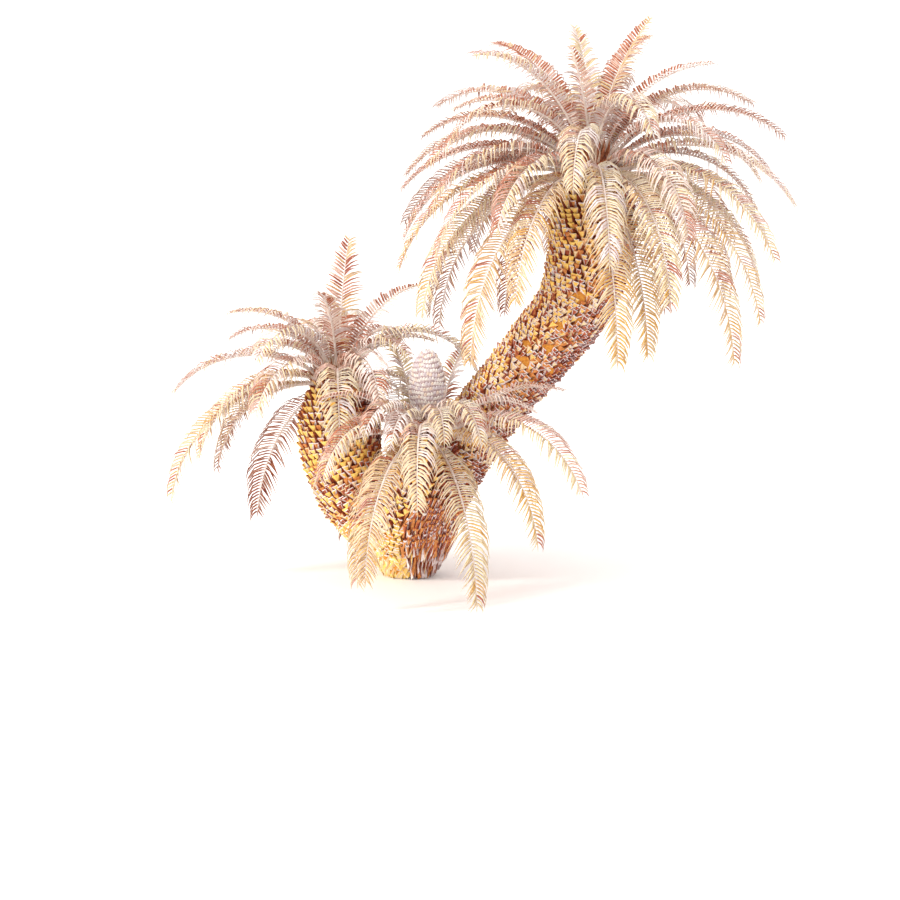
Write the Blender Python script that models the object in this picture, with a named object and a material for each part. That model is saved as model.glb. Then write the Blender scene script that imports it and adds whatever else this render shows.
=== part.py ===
"""Sago palm (Cycas revoluta) with three heads of fronds on one leaning root stock.

The main trunk swells at the ground, leans to +X and turns upright under its head.
A left stem and a front stem grow out of its foot, and the front head carries a seed cone.
Metres, +Z up, -Y towards the front. The origin is the centre of the flat cut at ground level.
"""

import math
import random

import bmesh
import bpy
from mathutils import Vector
from mathutils.bvhtree import BVHTree

GAP = 0.0003  # clearance between neighbouring solids
UP = Vector((0, 0, 1))

# Stems: the axis as (x, y, z) and the radius there, over the worn leaf bases.
MAIN_AXIS = [
    (0.000, 0.00, 0.000, 0.095),
    (0.000, 0.00, 0.060, 0.145),
    (0.006, 0.00, 0.160, 0.185),
    (0.070, 0.01, 0.320, 0.172),
    (0.180, 0.02, 0.485, 0.150),
    (0.300, 0.04, 0.660, 0.140),
    (0.415, 0.06, 0.805, 0.138),
    (0.610, 0.10, 1.035, 0.152),
    (0.740, 0.13, 1.200, 0.162),
    (0.810, 0.14, 1.395, 0.178),
    (0.828, 0.15, 1.555, 0.186),
]
LEFT_AXIS = [
    (-0.040, 0.00, 0.120, 0.095),
    (-0.160, 0.03, 0.240, 0.140),
    (-0.250, 0.06, 0.380, 0.155),
    (-0.300, 0.09, 0.540, 0.172),
    (-0.312, 0.10, 0.680, 0.172),
]
FRONT_AXIS = [
    (-0.020, -0.02, 0.150, 0.100),
    (-0.020, -0.08, 0.220, 0.150),
    (0.000, -0.15, 0.330, 0.160),
    (0.050, -0.20, 0.470, 0.155),
]
STEM_SIDES = 16  # even, so that leaf bases alternate round a stem
PATH_STEPS = 8  # steps of the smooth path between two points of an axis

# The armour of worn leaf bases: diamonds that alternate from ring to ring.
LEAF_BASE_PITCH = 0.060  # between their rings, along a stem
LEAF_BASE_DEPTH = 0.016  # from their points down to the grooves between them
SHARP_ANGLE = math.radians(20)

# Heads: the centre of the dome that the fronds spring from, its radius and its height.
# Nothing springs from above the collar, an angle of the dome in degrees.
HEADS = {
    "main": {"centre": (0.822, 0.15, 1.790), "radius": 0.135, "height": 0.110, "collar": 90},
    "left": {"centre": (-0.314, 0.10, 0.860), "radius": 0.110, "height": 0.085, "collar": 90},
    "front": {"centre": (0.088, -0.22, 0.655), "radius": 0.125, "height": 0.085, "collar": 24},
}
DOME_RINGS = 5

# Fronds: azimuth (0 is +X, 90 is +Y), lift at the root, droop from root to tip, in degrees, and length.
FRONDS = {
    "main": [
        (98, 80, 45, 0.66), (235, 82, 25, 0.48), (42, 78, 45, 0.72), (132, 66, 62, 0.84),
        (220, 65, 72, 0.86), (116, 58, 100, 0.92), (64, 70, 60, 0.80), (22, 66, 66, 0.71),
        (288, 68, 130, 0.74), (260, 48, 134, 0.70), (200, 60, 125, 0.78),
        (32, 54, 84, 0.90), (54, 45, 82, 1.00), (84, 42, 85, 0.95), (140, 52, 82, 0.92),
        (172, 46, 84, 0.74), (0, 47, 88, 0.86), (194, 40, 90, 0.72), (298, 24, 104, 0.84),
        (236, 20, 88, 0.80), (336, 27, 84, 0.92), (8, 24, 92, 0.74), (178, 26, 76, 0.80),
        (158, 18, 80, 0.90), (116, 28, 86, 0.95), (68, 20, 86, 0.95), (272, 14, 100, 0.84),
        (324, 12, 80, 0.96), (196, 8, 80, 0.95), (98, 8, 88, 0.95), (40, 12, 84, 0.90),
        (316, 0, 80, 1.10), (208, -2, 80, 1.02), (290, 4, 86, 1.00), (246, 4, 86, 0.98),
        (140, -8, 74, 1.15), (304, -4, 82, 1.24), (274, -14, 73, 1.08), (228, -12, 76, 1.12),
        (118, -12, 72, 1.00), (60, -14, 70, 0.95), (88, -18, 68, 1.00), (350, 0, 84, 0.86),
        (20, -10, 76, 0.84),
        (158, 56, 84, 0.70), (150, 34, 86, 0.92), (186, 16, 86, 0.86), (208, 28, 96, 0.80),
        (14, 36, 86, 0.80), (348, 38, 100, 0.74), (354, 12, 84, 0.80), (326, 50, 112, 0.72),
        (104, 48, 84, 0.84), (74, 60, 84, 0.86), (52, 0, 84, 0.95), (124, 10, 84, 0.95),
        (288, -22, 66, 0.95), (218, 14, 88, 0.90), (170, -10, 78, 0.95),
    ],
    "left": [
        (76, 83, 18, 0.58), (262, 72, 58, 0.52), (232, 60, 112, 0.62), (184, 65, 78, 0.54),
        (160, 55, 90, 0.53), (108, 46, 85, 0.70), (38, 66, 60, 0.57), (64, 44, 72, 0.56),
        (350, 56, 125, 0.70), (292, 42, 112, 0.56), (272, 28, 116, 0.70), (180, 30, 80, 0.70),
        (20, 14, 70, 0.34), (334, 10, 60, 0.30), (214, 16, 95, 0.76), (140, 8, 86, 0.76),
        (164, -4, 80, 0.68), (198, 2, 82, 0.90), (128, -22, 62, 0.88), (60, -6, 80, 0.75),
        (88, -24, 60, 1.03),
        (206, 50, 78, 0.42), (138, 44, 80, 0.40), (24, 48, 72, 0.44), (318, 56, 100, 0.46),
        (84, 60, 96, 0.60), (172, 12, 62, 0.42), (240, 34, 100, 0.66),
    ],
    "front": [
        (118, 74, 46, 0.54), (62, 72, 45, 0.46), (294, 60, 128, 0.58), (210, 56, 75, 0.48),
        (12, 48, 66, 0.56), (98, 44, 96, 0.44), (345, 30, 76, 0.56), (318, 28, 90, 0.90),
        (266, 30, 114, 0.76), (228, 32, 100, 0.66), (196, 12, 90, 0.50), (304, 16, 98, 0.90),
        (332, 8, 90, 0.54), (346, 0, 84, 0.40), (252, 4, 88, 0.94), (244, -6, 78, 0.84),
        (286, -8, 78, 0.94),
        (190, 70, 78, 0.42), (240, 60, 116, 0.50), (332, 56, 92, 0.48), (253, 58, 132, 0.46),
        (176, 34, 84, 0.38), (280, 62, 134, 0.48),
    ],
}
FROND_NODES = {"main": 30, "left": 14, "front": 12}

# A frond: its bare stalk, its rib and its rows of leaflets.
STALK_SHARE = 0.14
STALK_STEPS = 2
TEETH_PER_METRE = 11  # pairs of leaflets
FEWEST_TEETH = 5
ROOT_DEPTH = 0.020  # how far a stalk starts inside the dome before it is cut to it
RIB_WIDTH = (0.020, 0.012, 0.004)  # at the root, where leaflets start, and at the tip
RIB_HEIGHT = (0.018, 0.010, 0.004)
RIB_CROWN = 0.4  # share of the height that lies above the rib's middle line
BLADE_END = 0.985  # share of the length at the last pair of leaflets
END_LEAFLET = 0.03  # share of the length that the end one reaches past them
DROOP_POWER = 1.15  # how late the droop comes
LEAFLET_LENGTH = 0.138  # the longest, on a frond 1 m long
LEAFLET_ANGLES = (74, 44)  # from the rib, at the first leaflet and at the last
FIRST_LEAFLET = 0.50  # its share of the longest, which leaflets reach at FULL_FROM
FULL_FROM = 0.16  # along the leafy part
FULL_TO = 0.50
LAST_LEAFLET = 0.34
SHORTEN_POWER = 1.5
VALLEY = 24  # how far both rows are raised from the blade's plane
SWAY = 12  # the most that a frond's tip turns aside, in degrees
ROLL = 14  # the most that a blade is turned about its rib, in degrees
SHARED_BASE_RADIUS = 0.008
TIE = 1e-9
SHARED_BASE_SHARE = 0.035  # where along both ribs a shared leaf base joins them
TRIM_STEPS = (1.0, 0.8, 0.6, 0.45, 0.3)  # shares of its length that a leaflet is tried at
TRIM_MARGIN = 0.0015

# Seed cone on the front head.
CONE_FOOT = (0.090, -0.217, 0.728)
CONE_HEIGHT = 0.330
CONE_RADIUS = 0.088
CONE_SIDES = 12


def clear_scene():
    for obj in list(bpy.data.objects):
        bpy.data.objects.remove(obj)


def collection(name):
    made = bpy.data.collections.new(name)
    bpy.context.scene.collection.children.link(made)
    return made


def material(name, colour, roughness):
    made = bpy.data.materials.new(name)
    made.use_nodes = True
    shader = made.node_tree.nodes["Principled BSDF"]
    shader.inputs["Base Color"].default_value = (*colour, 1)
    shader.inputs["Roughness"].default_value = roughness
    return made


def add_object(name, mesh, finish, group):
    obj = bpy.data.objects.new(name, mesh)
    obj.data.materials.append(finish)
    group.objects.link(obj)
    return obj


# ---------------------------------------------------------------- stems


def smooth_path(points, per_span):
    """Catmull-Rom through points of any number of values, with per_span steps between neighbours."""
    rows = [Vector(p) for p in points]
    rows = [2 * rows[0] - rows[1], *rows, 2 * rows[-1] - rows[-2]]
    path = []
    for a, b, c, d in zip(rows, rows[1:], rows[2:], rows[3:]):
        for step in range(per_span):
            t = step / per_span
            path.append(
                0.5 * ((2 * b) + (c - a) * t + (2 * a - 5 * b + 4 * c - d) * t * t
                       + (3 * b - a - 3 * c + d) * t ** 3)
            )
    path.append(rows[-2])
    return path


def even_steps(path, pitch):
    """The same path with its places at about that pitch, ends kept."""
    along = [0.0]
    for a, b in zip(path, path[1:]):
        along.append(along[-1] + (b - a).xyz.length)
    count = round(along[-1] / pitch)
    places, k = [], 0
    for step in range(count):
        while along[k + 1] <= along[-1] * step / count:
            k += 1
        share = (along[-1] * step / count - along[k]) / (along[k + 1] - along[k])
        places.append(path[k].lerp(path[k + 1], share))
    return [*places, path[-1]]


def stem_path(axis, head):
    """(x, y, z, radius) along a stem, from its foot to its head's shoulder."""
    shoulder = (*(Vector(head["centre"]) - UP * 0.01), head["radius"])
    return even_steps(smooth_path([*axis, shoulder], PATH_STEPS), LEAF_BASE_PITCH)


def dome_path(head):
    """(x, y, z, radius) from above the shoulder to the top of a head's dome."""
    path = []
    for ring in range(1, DOME_RINGS + 1):
        turn = math.pi / 2 * ring / (DOME_RINGS + 0.4)
        at = Vector(head["centre"]) + UP * head["height"] * math.sin(turn)
        path.append(Vector((*at, head["radius"] * math.cos(turn))))
    return path


def stem_mesh(name, armoured, dome):
    """A tapering limb: a curve with a round bevel whose points carry the radius."""
    path = armoured + dome
    curve = bpy.data.curves.new(name, "CURVE")
    curve.dimensions = "3D"
    curve.bevel_depth = 1.0
    curve.bevel_resolution = STEM_SIDES // 2 - 2
    curve.use_fill_caps = True
    spline = curve.splines.new("POLY")
    spline.points.add(len(path) - 1)
    for point, (x, y, z, radius) in zip(spline.points, path):
        point.co = (x, y, z, 1)
        point.radius = radius
    mesh = mesh_from_curve(name, curve)
    cut_grooves(mesh, armoured)
    mesh.shade_smooth()
    mesh.set_sharp_from_angle(angle=SHARP_ANGLE)
    return mesh


def mesh_from_curve(name, curve):
    holder = bpy.data.objects.new(name, curve)
    bpy.context.scene.collection.objects.link(holder)
    bpy.context.view_layer.update()
    depsgraph = bpy.context.evaluated_depsgraph_get()
    mesh = bpy.data.meshes.new_from_object(holder.evaluated_get(depsgraph))
    bpy.data.objects.remove(holder)
    return mesh


def cut_grooves(mesh, armoured):
    """Sinks every other vertex of a limb's rings, welds its caps and splits its faces along the grooves."""
    bm = bmesh.new()
    bm.from_mesh(mesh)
    bm.verts.ensure_lookup_table()
    caps = 2 * STEM_SIDES  # the vertices of both caps come before the rings'
    sunk = set()
    for ring in range(1, len(armoured)):
        axis = armoured[ring].xyz
        for side in range(ring % 2, STEM_SIDES, 2):
            vert = bm.verts[caps + ring * STEM_SIDES + side]
            vert.co += (axis - vert.co).normalized() * LEAF_BASE_DEPTH
            sunk.add(vert)
    bmesh.ops.remove_doubles(bm, verts=bm.verts, dist=0.00001)
    bmesh.ops.recalc_face_normals(bm, faces=bm.faces)
    for face in [f for f in bm.faces if len(f.verts) == 4]:
        grooves = [v for v in face.verts if v in sunk]
        if len(grooves) == 2:
            bmesh.utils.face_split(face, *grooves)
    bmesh.ops.triangulate(bm, faces=bm.faces, quad_method="FIXED", ngon_method="EAR_CLIP")
    bm.to_mesh(mesh)
    bm.free()


def swollen(mesh, by):
    """A copy of a closed mesh, its surface moved out by that distance."""
    bm = bmesh.new()
    bm.from_mesh(mesh)
    for v, normal in [(v, v.normal.copy()) for v in bm.verts]:
        v.co += normal * by
    return mesh_of(bm, "swollen")


def boolean(target, operation, tool):
    """Applies one Boolean of an object, or of a collection's objects, to target."""
    modifier = target.modifiers.new("Boolean", "BOOLEAN")
    modifier.operation = operation
    if isinstance(tool, bpy.types.Collection):
        modifier.operand_type = "COLLECTION"
        modifier.collection = tool
    else:
        modifier.object = tool
    bpy.context.view_layer.update()
    depsgraph = bpy.context.evaluated_depsgraph_get()
    mesh = bpy.data.meshes.new_from_object(target.evaluated_get(depsgraph))
    target.modifiers.remove(modifier)
    target.data = mesh


def level_foot(mesh):
    """Flattens the lowest ring of a stem, and its cap, onto the ground."""
    for v in sorted(mesh.vertices, key=lambda v: v.co.z)[:STEM_SIDES]:
        v.co.z = 0.0


# ---------------------------------------------------------------- fronds


def taper(values, share):
    """Value at share (0 to 1) of the blade between its root, first leaflet and tip values."""
    root, start, tip = values
    if share < STALK_SHARE:
        return root + (start - root) * share / STALK_SHARE
    return start + (tip - start) * (share - STALK_SHARE) / (1 - STALK_SHARE)


def leaflet_share(t):
    """Length of a leaflet, as a share of the longest, at t (0 to 1) along the leafy part."""
    if t < FULL_FROM:
        return FIRST_LEAFLET + (1 - FIRST_LEAFLET) * t / FULL_FROM
    if t < FULL_TO:
        return 1.0
    return 1.0 - (1 - LAST_LEAFLET) * ((t - FULL_TO) / (1 - FULL_TO)) ** SHORTEN_POWER


class Frond:
    """One frond: its rib as a walk of places and directions, and what its leaflets measure."""

    def __init__(self, head_name, index):
        head = HEADS[head_name]
        azimuth, lift, droop, self.length = FRONDS[head_name][index]
        chance = random.Random(f"{head_name} {index}")
        self.sway = math.radians(chance.uniform(-SWAY, SWAY))
        self.roll = math.radians(chance.uniform(-ROLL, ROLL))
        self.azimuth, self.lift, self.droop = map(math.radians, (azimuth, lift, droop))
        out = Vector((math.cos(self.azimuth), math.sin(self.azimuth), 0))
        turn = math.radians(min(lift, head["collar"]))
        self.root = (
            Vector(head["centre"])
            + out * head["radius"] * math.cos(turn)
            + UP * head["height"] * math.sin(turn)
        )

    def direction(self, share):
        pitch = self.lift - self.droop * share ** DROOP_POWER
        turn = self.azimuth + self.sway * share ** 2
        flat = Vector((math.cos(turn), math.sin(turn), 0))
        return flat * math.cos(pitch) + UP * math.sin(pitch)

    def frame(self, share):
        """Tangent, side and upper normal of the blade."""
        tangent = self.direction(share)
        turn = self.azimuth + self.sway * share ** 2
        side = Vector((-math.sin(turn), math.cos(turn), 0))
        normal = tangent.cross(side).normalized()
        roll = self.roll * share
        return (
            tangent,
            side * math.cos(roll) + normal * math.sin(roll),
            normal * math.cos(roll) - side * math.sin(roll),
        )

    def walk(self, shares):
        """Places on the rib at rising shares of its length."""
        places, at, fine = [], self.root.copy(), 8
        previous = 0.0
        for share in shares:
            step = (share - previous) / fine
            for k in range(fine):
                at = at + self.direction(previous + (k + 0.5) * step) * step * self.length
            places.append(at.copy())
            previous = share
        return places

    def leaflet_tip(self, start, share, row, scale):
        """Where the leaflet of that row (-1 or 1) ends, from its start beside the rib."""
        t = (share - STALK_SHARE) / (1 - STALK_SHARE)
        first, last = LEAFLET_ANGLES
        angle = math.radians(first + (last - first) * t)
        tangent, side, normal = self.frame(share)
        across = side * row * math.cos(math.radians(VALLEY)) + normal * math.sin(
            math.radians(VALLEY)
        )
        reach = LEAFLET_LENGTH * leaflet_share(t) * self.length ** 0.5 * scale
        return start + (tangent * math.cos(angle) + across * math.sin(angle)) * reach


def section(frond, share, place, grow=0.0):
    """Left, right and keel corners of the rib."""
    _, side, normal = frond.frame(share)
    half = taper(RIB_WIDTH, share) / 2 + grow
    height = taper(RIB_HEIGHT, share) + 2 * grow
    top = place + normal * height * RIB_CROWN
    return top - side * half, top + side * half, top - normal * height


def stations(frond):
    """Shares of the length at the rib's rings: a few on the stalk, then one at each leaflet's edge."""
    stalk = [STALK_SHARE * k / STALK_STEPS for k in range(STALK_STEPS)]
    teeth = max(FEWEST_TEETH, round(TEETH_PER_METRE * frond.length))
    blade = [STALK_SHARE + (BLADE_END - STALK_SHARE) * k / teeth for k in range(teeth + 1)]
    return stalk + blade


def rib_tree(frond, grow):
    """Search tree of the rib alone, from its root to its tip."""
    shares = stations(frond)
    corners, faces = [], []
    for share, place in zip(shares, frond.walk(shares)):
        corners += section(frond, share, place, grow)
    for k in range(len(shares) - 1):
        a = 3 * k
        for i, j in ((0, 1), (1, 2), (2, 0)):
            faces.append((a + i, a + j, a + j + 3, a + i + 3))
    return Obstacle(corners, faces)


class Obstacle:
    """A search tree with the box round it."""

    def __init__(self, corners, faces):
        self.low = [min(c[i] for c in corners) for i in range(3)]
        self.high = [max(c[i] for c in corners) for i in range(3)]
        self.tree = BVHTree.FromPolygons([tuple(c) for c in corners], faces)

    def meets(self, other):
        for i in range(3):
            if self.low[i] > other.high[i] or other.low[i] > self.high[i]:
                return False
        return bool(self.tree.overlap(other.tree))


def obstacle_of(mesh):
    return Obstacle([v.co.copy() for v in mesh.vertices], [tuple(p.vertices) for p in mesh.polygons])


def frond_bmesh(frond, obstacles):
    """A three-sided rib extruded along its walk, whose side faces are drawn out into leaflets."""
    bm = bmesh.new()
    shares = stations(frond)
    places = frond.walk(shares)
    tangent = frond.direction(0)
    first = section(frond, 0, places[0] - tangent * ROOT_DEPTH)
    cap = bm.faces.new([bm.verts.new(c) for c in first])
    rings = [list(cap.verts)]
    for share, place in zip(shares[1:], places[1:]):
        grown = bmesh.ops.extrude_face_region(bm, geom=[cap])["geom"]
        if len(rings) > 1:
            bm.faces.remove(cap)
        cap = next(f for f in grown if isinstance(f, bmesh.types.BMFace))
        ring = list(cap.verts)
        for vert, corner in zip(ring, section(frond, share, place)):
            vert.co = corner
        rings.append(ring)
    tip = bmesh.ops.poke(bm, faces=[cap])["verts"][0]
    tip.co = places[-1] + frond.direction(1) * END_LEAFLET * frond.length
    for k in range(STALK_STEPS, len(shares) - 1):
        share = (shares[k] + shares[k + 1]) / 2
        for row, edge in ((-1, 0), (1, 1)):
            quad = [rings[k][edge], rings[k][2], rings[k + 1][2], rings[k + 1][edge]]
            end = clear_tip(frond, share, row, [v.co for v in quad], obstacles)
            if end is not None:
                face = bm.faces.get(quad)
                bmesh.ops.poke(bm, faces=[face])["verts"][0].co = end
    bmesh.ops.recalc_face_normals(bm, faces=bm.faces)
    return bm


def clear_tip(frond, share, row, quad, obstacles):
    """The leaflet's tip at the greatest length that touches nothing, or None."""
    start = sum(quad, Vector()) / 4
    _, side, normal = frond.frame(share)
    for scale in TRIM_STEPS:
        end = frond.leaflet_tip(start, share, row, scale)
        beyond = end + (end - start).normalized() * 2 * TRIM_MARGIN
        inner = start + side * row * 0.002
        fat = [c + (c - start).normalized() * TRIM_MARGIN + (inner - start) for c in quad]
        tooth = Obstacle([*fat, beyond], [(0, 1, 4), (1, 2, 4), (2, 3, 4), (3, 0, 4)])
        if not any(tooth.meets(o) for o in obstacles):
            return end
    return None


def fused_groups(fronds, count):
    """Groups of one or two fronds, count in all, whose paired roots lie as close as can be."""
    gap = [[(a.root - b.root).length_squared for b in fronds] for a in fronds]
    order = sorted((gap[i][j], i, j) for i in range(len(fronds)) for j in range(i))
    partner = list(range(len(fronds)))
    pairs = 0
    for _, i, j in order:
        if pairs == len(fronds) - count:
            break
        if partner[i] == i and partner[j] == j:
            partner[i], partner[j] = j, i
            pairs += 1
    while swap_partners(partner, gap):
        pass
    return [(i, partner[i]) if partner[i] > i else (i,) for i in range(len(fronds)) if partner[i] >= i]


def swap_partners(partner, gap):
    """Regroups two of the groups where that brings paired roots closer, and says whether it did."""
    for i, a in enumerate(partner):
        for j, b in enumerate(partner):
            if j in (i, a) or (a == i and b == j):
                continue
            if gap[i][j] + gap[a][b] < gap[i][a] + gap[j][b] - TIE:
                if a == i:
                    partner[i], partner[j], partner[b] = j, i, b
                elif b == j:
                    partner[i], partner[j], partner[a] = j, i, a
                else:
                    partner[i], partner[j], partner[a], partner[b] = j, i, b, a
                return True
    return False


def shared_base(a, b):
    """A short bar across two neighbouring stalks."""
    share = [SHARED_BASE_SHARE]
    start, end = a.walk(share)[0], b.walk(share)[0]
    bm = bmesh.new()
    bmesh.ops.create_cone(
        bm, cap_ends=True, segments=6, radius1=SHARED_BASE_RADIUS, radius2=SHARED_BASE_RADIUS,
        depth=(end - start).length,
    )
    turn = UP.rotation_difference(end - start).to_matrix().to_4x4()
    turn.translation = (start + end) / 2
    bmesh.ops.transform(bm, matrix=turn, verts=bm.verts)
    return bm


def mesh_of(bm, name):
    mesh = bpy.data.meshes.new(name)
    bm.to_mesh(mesh)
    bm.free()
    return mesh


def build_fronds(stems, cutters, finish, group, tools):
    fronds = {name: [Frond(name, i) for i in range(len(rows))] for name, rows in FRONDS.items()}
    ribs = {(name, i): rib_tree(f, TRIM_MARGIN) for name in fronds for i, f in enumerate(fronds[name])}
    solid = [obstacle_of(s.data) for s in stems]
    done = []
    for head, members in fronds.items():
        meshes = []
        for i, frond in enumerate(members):
            others = [tree for key, tree in ribs.items() if key != (head, i)]
            mesh = mesh_of(frond_bmesh(frond, solid + others + done), f"{head}_{i}")
            done.append(obstacle_of(mesh))
            meshes.append(mesh)
        for number, chosen in enumerate(fused_groups(members, FROND_NODES[head]), 1):
            kind = "fronds" if len(chosen) > 1 else "frond"
            obj = add_object(f"{head}_{kind}_{number:02d}", meshes[chosen[0]], finish, group)
            if len(chosen) > 1:
                join_pair(obj, meshes[chosen[1]], shared_base(*(members[i] for i in chosen)), tools)
            boolean(obj, "DIFFERENCE", cutters[head])


def join_pair(obj, second, bar, tools):
    pieces = [
        bpy.data.objects.new("second", second),
        bpy.data.objects.new("bar", mesh_of(bar, "bar")),
    ]
    for piece in pieces:
        tools.objects.link(piece)
    boolean(obj, "UNION", tools)
    for piece in pieces:
        bpy.data.objects.remove(piece)


# ---------------------------------------------------------------- seed cone


def cone_mesh():
    """A turned egg, its profile closed at both ends."""
    bm = bmesh.new()
    bmesh.ops.create_uvsphere(bm, u_segments=CONE_SIDES, v_segments=8, radius=1.0)
    for v in bm.verts:
        share = (v.co.z + 1) / 2
        width = CONE_RADIUS * (1.06 - 0.22 * share)
        v.co = Vector(CONE_FOOT) + Vector((v.co.x * width, v.co.y * width, share * CONE_HEIGHT))
    mesh = mesh_of(bm, "seed_cone")
    mesh.shade_smooth()
    return mesh


# ---------------------------------------------------------------- assembly


def build():
    clear_scene()
    group = collection("sago_palm")
    tools = collection("cutters")
    joining = collection("joining")
    bark = material("bark", (0.62, 0.36, 0.11), 0.85)
    leaf = material("leaf", (0.80, 0.62, 0.36), 0.70)
    felt = material("felt", (0.84, 0.78, 0.72), 0.90)

    axes = {"main": MAIN_AXIS, "left": LEFT_AXIS, "front": FRONT_AXIS}
    stems, cutters = {}, {}
    for name, axis in axes.items():
        label = "main_trunk" if name == "main" else f"{name}_stem"
        mesh = stem_mesh(label, stem_path(axis, HEADS[name]), dome_path(HEADS[name]))
        stems[name] = add_object(label, mesh, bark, group)
        cutter = add_object(f"{name}_cutter", swollen(stems[name].data, 1.1 * GAP), bark, tools)
        cutter.hide_render = True
        cutter.display_type = "WIRE"
        cutters[name] = cutter
    level_foot(stems["main"].data)
    boolean(stems["left"], "DIFFERENCE", cutters["main"])
    boolean(stems["front"], "DIFFERENCE", cutters["main"])
    boolean(stems["front"], "DIFFERENCE", cutters["left"])

    cone = add_object("seed_cone", cone_mesh(), felt, group)
    boolean(cone, "DIFFERENCE", cutters["front"])
    build_fronds([*stems.values(), cone], cutters, leaf, group, joining)
    for cutter in cutters.values():
        bpy.data.objects.remove(cutter)


build()
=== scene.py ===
"""The looks of the sago palm: leaflets, ribs, trunks clad in leaf bases, buds and the seed cone.

Metres, +Z up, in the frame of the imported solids. Every frond grows by the same rule as its solid:
a rib that leaves its head at an azimuth and a lift, and droops by an angle over its length.
"""

import math
import random

import bpy
import numpy as np
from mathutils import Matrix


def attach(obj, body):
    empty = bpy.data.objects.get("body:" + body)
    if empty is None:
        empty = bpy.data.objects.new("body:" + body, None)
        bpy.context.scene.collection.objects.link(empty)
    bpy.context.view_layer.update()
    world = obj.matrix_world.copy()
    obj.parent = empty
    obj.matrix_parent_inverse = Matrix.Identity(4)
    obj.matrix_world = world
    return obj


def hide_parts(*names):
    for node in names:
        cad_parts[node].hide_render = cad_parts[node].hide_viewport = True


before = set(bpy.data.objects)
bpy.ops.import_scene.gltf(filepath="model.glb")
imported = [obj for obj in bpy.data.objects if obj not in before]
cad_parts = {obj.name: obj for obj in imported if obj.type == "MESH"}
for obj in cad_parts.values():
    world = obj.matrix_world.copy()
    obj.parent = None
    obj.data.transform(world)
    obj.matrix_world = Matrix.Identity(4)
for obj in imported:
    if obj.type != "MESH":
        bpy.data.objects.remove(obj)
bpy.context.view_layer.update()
UP = np.array((0.0, 0.0, 1.0))

# --- the plant's driving sizes

# Stems: the axis as (x, y, z) and the radius there, over the worn leaf bases.
STEM_AXES = {
    "main": [
        (0.000, 0.00, 0.000, 0.095), (0.000, 0.00, 0.060, 0.145), (0.006, 0.00, 0.160, 0.185),
        (0.070, 0.01, 0.320, 0.172), (0.180, 0.02, 0.485, 0.150), (0.300, 0.04, 0.660, 0.140),
        (0.415, 0.06, 0.805, 0.138), (0.610, 0.10, 1.035, 0.152), (0.740, 0.13, 1.200, 0.162),
        (0.810, 0.14, 1.395, 0.178), (0.828, 0.15, 1.555, 0.186),
    ],
    "left": [
        (-0.040, 0.00, 0.120, 0.095), (-0.160, 0.03, 0.240, 0.140), (-0.250, 0.06, 0.380, 0.155),
        (-0.300, 0.09, 0.540, 0.172), (-0.312, 0.10, 0.680, 0.172),
    ],
    "front": [
        (-0.020, -0.02, 0.150, 0.100), (-0.020, -0.08, 0.220, 0.150), (0.000, -0.15, 0.330, 0.160),
        (0.050, -0.20, 0.470, 0.155),
    ],
}
STEM_NODES = {"main": "main_trunk", "left": "left_stem", "front": "front_stem"}

# Heads: the dome that the fronds spring from, none from above the collar, in degrees. Growth is
# times the length that the rule gives a leaflet.
HEADS = {
    "main": dict(centre=(0.822, 0.15, 1.790), radius=0.135, height=0.110, collar=90, growth=1.07),
    "left": dict(centre=(-0.314, 0.10, 0.860), radius=0.110, height=0.085, collar=90, growth=1.24),
    "front": dict(centre=(0.088, -0.22, 0.655), radius=0.125, height=0.085, collar=24, growth=1.0),
}

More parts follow.
